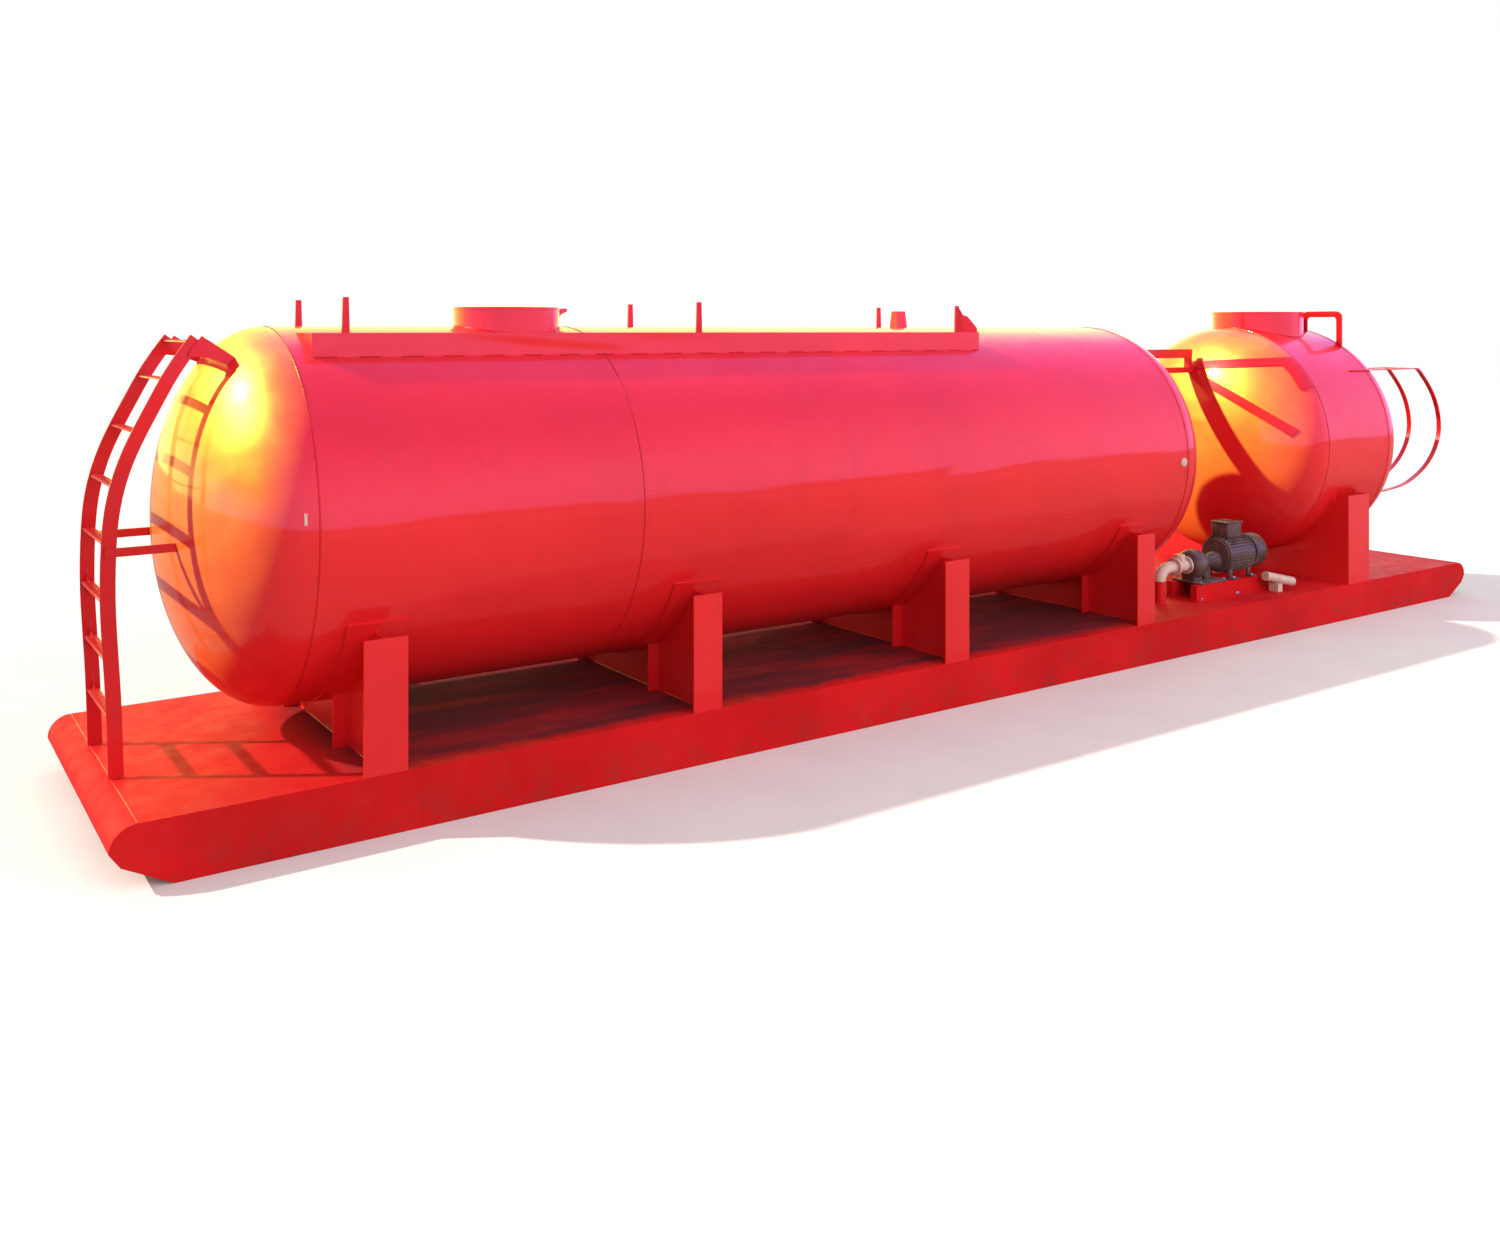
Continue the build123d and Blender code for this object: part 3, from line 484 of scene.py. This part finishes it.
s = Shape()
for i in range(8):
    a = math.radians(22.5 + 45 * i)
    s.hexbolt((2.476, PY + 0.090 * math.cos(a), PZ + 0.090 * math.sin(a)), (1, 0, 0), 0.016, 0.008)
for x in (2.335, 2.645):
    for y in (-0.125, 0.125):
        s.hexbolt((x, PY + y, 0.454), (0, 0, 1), 0.019, 0.010)
for x in (2.77, 3.02):
    for y in (-0.137, 0.137):
        s.hexbolt((x, PY + y, 0.454), (0, 0, 1), 0.019, 0.010)
for x in (2.30, 2.79, 3.28):
    for y in (-0.155, 0.155):
        s.hexbolt((x, PY + y, 0.322), (0, 0, 1), 0.024, 0.013)
for x, y in ((2.765, -0.08), (2.955, -0.08), (2.765, 0.08), (2.955, 0.08)):
    s.hexbolt((x, PY + y, 0.9125), (0, 0, 1), 0.008, 0.001, washer=False)
for i in range(6):
    a = math.radians(60 * i + 15)
    for x, d in ((2.160, 1), (2.290, -1)):
        s.hexbolt((x, PY + 0.0635 * math.cos(a), PZ + 0.0635 * math.sin(a)), (d, 0, 0), 0.013, 0.007)
s.done("pump_bolts", steel_m)

# ------------------------------------------------------------------ stage
me = bpy.data.meshes.new("floor")
g = 24
vs = [(-60 + 120 * i / g, -60 + 120 * j / g, -0.001) for j in range(g + 1) for i in range(g + 1)]
me.from_pydata(vs, [], [(j * (g + 1) + i, j * (g + 1) + i + 1, (j + 1) * (g + 1) + i + 1, (j + 1) * (g + 1) + i)
                        for j in range(g) for i in range(g)])
floor = bpy.data.objects.new("floor", me)
bpy.context.scene.collection.objects.link(floor)
m, nt, b = new_mat("pale_floor")
k = Net(nt)
nt.links.new(k.mix(k.ramp(k.noise(2.0, 6.0), 0.3, 0.7), (0.80, 0.80, 0.80), (0.77, 0.77, 0.77)), b.inputs["Base Color"])
b.inputs["Roughness"].default_value = 0.85
b.inputs["Specular IOR Level"].default_value = 0.1
dim = nt.nodes.new("ShaderNodeBsdfDiffuse")
dim.inputs[0].default_value = (0.34, 0.32, 0.32, 1.0)
ray = nt.nodes.new("ShaderNodeLightPath")
pick = nt.nodes.new("ShaderNodeMixShader")
nt.links.new(ray.outputs["Is Camera Ray"], pick.inputs[0])
nt.links.new(dim.outputs[0], pick.inputs[1])
nt.links.new(b.outputs[0], pick.inputs[2])
nt.links.new(pick.outputs[0], nt.nodes["Material Output"].inputs[0])
me.materials.append(m)

world = bpy.data.worlds.new("studio")
bpy.context.scene.world = world
world.use_nodes = True
wn = world.node_tree


def wnode(kind, **inp):
    n = wn.nodes.new(kind)
    for q, v in inp.items():
        q = int(q[1:])
        if isinstance(v, bpy.types.NodeSocket):
            wn.links.new(v, n.inputs[q])
        else:
            n.inputs[q].default_value = v
    return n


def wstep(v, lo, hi):
    n = wnode("ShaderNodeMapRange", i0=v, i1=lo, i2=hi)
    n.interpolation_type = "SMOOTHSTEP"
    return n.outputs[0]


def wmul(a, c):
    n = wnode("ShaderNodeMath", i0=a, i1=c)
    n.operation = "MULTIPLY"
    return n.outputs[0]


def wmix(fac, a, c):
    n = wn.nodes.new("ShaderNodeMix")
    n.data_type = "RGBA"
    wn.links.new(fac, n.inputs[0])
    for q, v in ((6, a), (7, c)):
        if isinstance(v, bpy.types.NodeSocket):
            wn.links.new(v, n.inputs[q])
        else:
            n.inputs[q].default_value = (*v, 1.0)
    return n.outputs[2]


ray_dir = wn.nodes.new("ShaderNodeTexCoord").outputs["Generated"]
d = wnode("ShaderNodeSeparateXYZ", i0=ray_dir).outputs
# what the gloss sees: a blue-violet sky, paler low down, warm to the left and behind
sky = wmix(wstep(d[2], 0.02, 0.75), (1.8, 1.45, 3.1), (0.6, 0.52, 2.0))
behind = wmul(wstep(d[1], 0.20, 0.80), wstep(d[2], 0.85, 0.25))
sky = wmix(behind, sky, (4.2, 3.7, 1.1))
glow = wnode("ShaderNodeVectorMath", i0=ray_dir, i1=(-0.80, 0.60, 0.05))
glow.operation = "DOT_PRODUCT"
glow = wmul(wstep(glow.outputs["Value"], 0.05, 0.85), wmul(wstep(d[2], 0.95, 0.35), wstep(d[2], 0.04, 0.22)))
sky = wmix(glow, sky, (2.6, 1.3, 0.20))
gloss = wnode("ShaderNodeBackground", i0=sky, i1=1.0)
bg = wn.nodes["Background"]
bg.inputs[0].default_value = (1.0, 0.96, 0.97, 1.0)
bg.inputs[1].default_value = 0.66
paper = wnode("ShaderNodeBackground", i0=(1.0, 1.0, 1.0, 1.0), i1=1.0)
path = wn.nodes.new("ShaderNodeLightPath")
one = wnode("ShaderNodeMixShader", i0=path.outputs["Is Glossy Ray"], i1=bg.outputs[0], i2=gloss.outputs[0])
both = wnode("ShaderNodeMixShader", i0=path.outputs["Is Camera Ray"], i1=one.outputs[0], i2=paper.outputs[0])
wn.links.new(both.outputs[0], wn.nodes["World Output"].inputs[0])


def lamp(name, at, to, size, power, colour):
    d = bpy.data.lights.new(name, "AREA")
    d.shape = "RECTANGLE"
    d.size, d.size_y = size
    d.energy = power
    d.color = colour
    o = bpy.data.objects.new(name, d)
    o.location = at
    o.rotation_mode = "QUATERNION"
    o.rotation_quaternion = (Vector(to) - Vector(at)).to_track_quat("-Z", "Y")
    bpy.context.scene.collection.objects.link(o)


def sun(name, power, colour, angle):
    d = bpy.data.lights.new(name, "SUN")
    d.energy = power
    d.angle = angle
    d.color = colour
    o = bpy.data.objects.new(name, d)
    o.rotation_mode = "QUATERNION"
    o.rotation_quaternion = Vector((1.0, -0.6, -0.93)).to_track_quat("-Z", "Y")
    bpy.context.scene.collection.objects.link(o)
    return o


sun("key", 3.8, (1.0, 0.90, 0.74), 0.02)
# the same sun through a yellow gel, on the two domes that face it
gel = sun("key_gel", 80.0, (0.045, 1.0, 0.06), 0.02)
lit = bpy.data.collections.new("gel_receivers")
for n in ("main_head_left", "second_head_left"):
    lit.objects.link(nodes[n])
gel.light_linking.receiver_collection = lit
lamp("fill_card", (4.0, -18.0, 9.0), (0.5, 0.0, 1.6), (34.0, 13.0), 3300.0, (1.0, 0.93, 0.95))
bpy.data.objects["fill_card"].visible_glossy = False

cam = bpy.data.cameras.new("camera")
cam.sensor_width = 36.0
cam.lens = 1312.188 / 1500.0 * 36.0
cam.shift_x = -(753.0 - 750.0) / 1500.0
cam.shift_y = -(618.0 - 330.593) / 1500.0
cam.clip_end = 500.0
camera = bpy.data.objects.new("camera", cam)
bpy.context.scene.collection.objects.link(camera)
camera.location = (-7.003, -7.574, 2.562)
camera.rotation_mode = "QUATERNION"
camera.rotation_quaternion = Vector((0.572, 0.820, 0.0)).to_track_quat("-Z", "Y")
bpy.context.scene.camera = camera
bpy.context.scene.view_settings.view_transform = "Standard"
